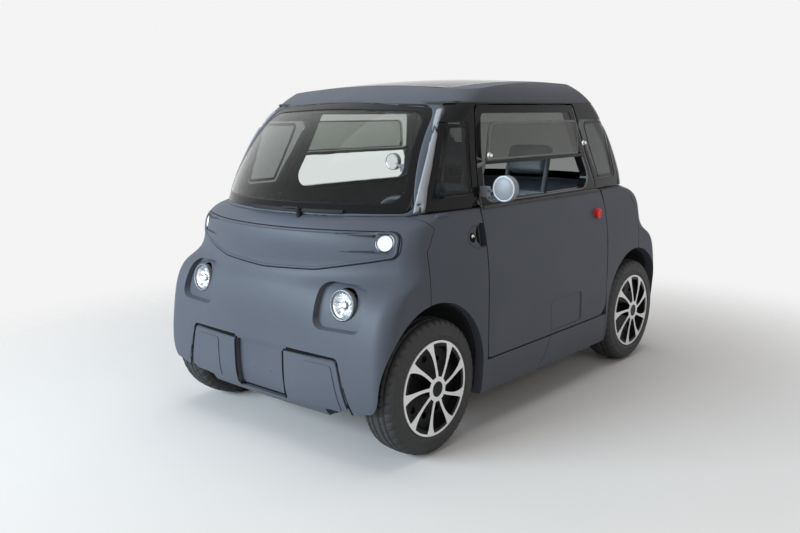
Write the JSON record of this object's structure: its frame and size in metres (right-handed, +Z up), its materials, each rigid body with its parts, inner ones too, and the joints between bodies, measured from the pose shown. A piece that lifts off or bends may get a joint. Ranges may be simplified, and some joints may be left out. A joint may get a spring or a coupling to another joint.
{
  "type": "electric microcar",
  "caption": "Small electric city car with two doors, glass roof, folded-up side windows, steered front wheels and a bare cabin.",
  "frame": {"origin": "on the ground under the middle of the body", "axes": "+X forward, +Y to the car's left, +Z up"},
  "size_m": [2.4036, 1.704, 1.518],
  "materials": {
    "body_wrap": "matte anthracite film",
    "window_glass": "tinted",
    "lamp_glass": "clear, faceted",
    "tyre": "rubber",
    "wheel_silver": "satin silver",
    "black_plastic": "grained",
    "dark_trim": "grained",
    "seat_cloth": "woven",
    "mirror_grey": "satin",
    "red_plastic": "gloss",
    "battery_case": "powder coat",
    "cast_alloy": "as cast",
    "chassis_steel": "black paint",
    "wiper_rubber": "matte"
  },
  "bodies": {
    "root": {"battery": "battery_case", "cab_frame": "body_wrap", "dashboard": "dark_trim", "fender_front_left": "body_wrap", "fender_front_right": "body_wrap", "fender_rear_left": "body_wrap", "fender_rear_right": "body_wrap", "floor_pan": "black_plastic", "front_arms": "chassis_steel", "front_subframe": "chassis_steel", "headlamps_front": "lamp_glass", "headlamps_rear": "lamp_glass", "lamp_band_front": "body_wrap", "lamp_band_rear": "body_wrap", "marker_lamps_front": "lamp_glass", "marker_lamps_rear": "lamp_glass", "motor": "cast_alloy", "nose_panel_front": "body_wrap", "nose_panel_rear": "body_wrap", "quarter_glass": "window_glass", "rack_housing": "cast_alloy", "rear_axle": "chassis_steel", "rear_dampers": "chassis_steel", "rear_window": "window_glass", "roof_glass": "window_glass", "seat_frame_driver": "dark_trim", "seat_frame_passenger": "dark_trim", "seat_pads_driver": "seat_cloth", "seat_pads_passenger": "seat_cloth", "sill_left": "body_wrap", "sill_right": "body_wrap", "steering_column": "dark_trim", "strut_mounts": "black_plastic", "wheel_liners_front": "black_plastic", "wheel_liners_rear": "black_plastic", "windscreen": "window_glass", "wiper": "wiper_rubber"},
    "door_left": {"door_glass_left": "window_glass", "door_mirror_left": "mirror_grey", "door_panel_left": "body_wrap", "door_release_left": "red_plastic"},
    "steered_left": {"knuckle_left": "chassis_steel"},
    "door_right": {"door_glass_right": "window_glass", "door_mirror_right": "mirror_grey", "door_panel_right": "body_wrap"},
    "steered_right": {"knuckle_right": "chassis_steel"},
    "rack": {"steering_rack": "chassis_steel"},
    "helm": {"steering_wheel": "dark_trim"},
    "road_wheel_front_left": {"tyre_front_left": "tyre", "wheel_front_left": "wheel_silver"},
    "road_wheel_front_right": {"tyre_front_right": "tyre", "wheel_front_right": "wheel_silver"},
    "road_wheel_rear_left": {"tyre_rear_left": "tyre", "wheel_rear_left": "wheel_silver"},
    "road_wheel_rear_right": {"tyre_rear_right": "tyre", "wheel_rear_right": "wheel_silver"}
  },
  "joints": [
    {"name": "door_left_swing", "type": "hinge", "parent": "root", "child": "door_left", "pos_m": [-0.5365, 0.691, 0.5], "axis": [0, 0, 1], "range_deg": [0, 70]},
    {"name": "door_right_swing", "type": "hinge", "parent": "root", "child": "door_right", "pos_m": [0.5365, -0.691, 0.5], "axis": [0, 0, 1], "range_deg": [0, 70]},
    {"name": "steer_left", "type": "hinge", "parent": "root", "child": "steered_left", "pos_m": [0.865, 0.563, 0.15], "axis": [0, -0.1898, 0.9818], "range_deg": [-32, 32]},
    {"name": "steer_right", "type": "hinge", "parent": "root", "child": "steered_right", "pos_m": [0.865, -0.563, 0.15], "axis": [0, 0.1898, 0.9818], "range_deg": [-32.5, 32.5]},
    {"name": "rack_slide", "type": "slide", "parent": "root", "child": "rack", "axis": [0, 1, 0], "range_m": [-0.062, 0.062]},
    {"name": "helm_turn", "type": "hinge", "parent": "root", "child": "helm", "pos_m": [0.56, 0.3, 0.83], "axis": [-0.9063, 0, 0.4226], "range_deg": [-450, 450]},
    {"name": "roll_front_left", "type": "hinge", "parent": "steered_left", "child": "road_wheel_front_left", "pos_m": [0.865, 0.6, 0.2785], "axis": [0, 1, 0], "continuous": true},
    {"name": "roll_front_right", "type": "hinge", "parent": "steered_right", "child": "road_wheel_front_right", "pos_m": [0.865, -0.6, 0.2785], "axis": [0, 1, 0], "continuous": true},
    {"name": "roll_rear_left", "type": "hinge", "parent": "root", "child": "road_wheel_rear_left", "pos_m": [-0.865, 0.6, 0.2785], "axis": [0, 1, 0], "continuous": true},
    {"name": "roll_rear_right", "type": "hinge", "parent": "root", "child": "road_wheel_rear_right", "pos_m": [-0.865, -0.6, 0.2785], "axis": [0, 1, 0], "continuous": true}
  ],
  "couplings": [
    {"joint": "steer_right", "follows": "steer_left", "ratio": 1},
    {"joint": "rack_slide", "follows": "steer_left", "m_per_rad": 0.108},
    {"joint": "helm_turn", "follows": "steer_left", "ratio": 14}
  ]
}
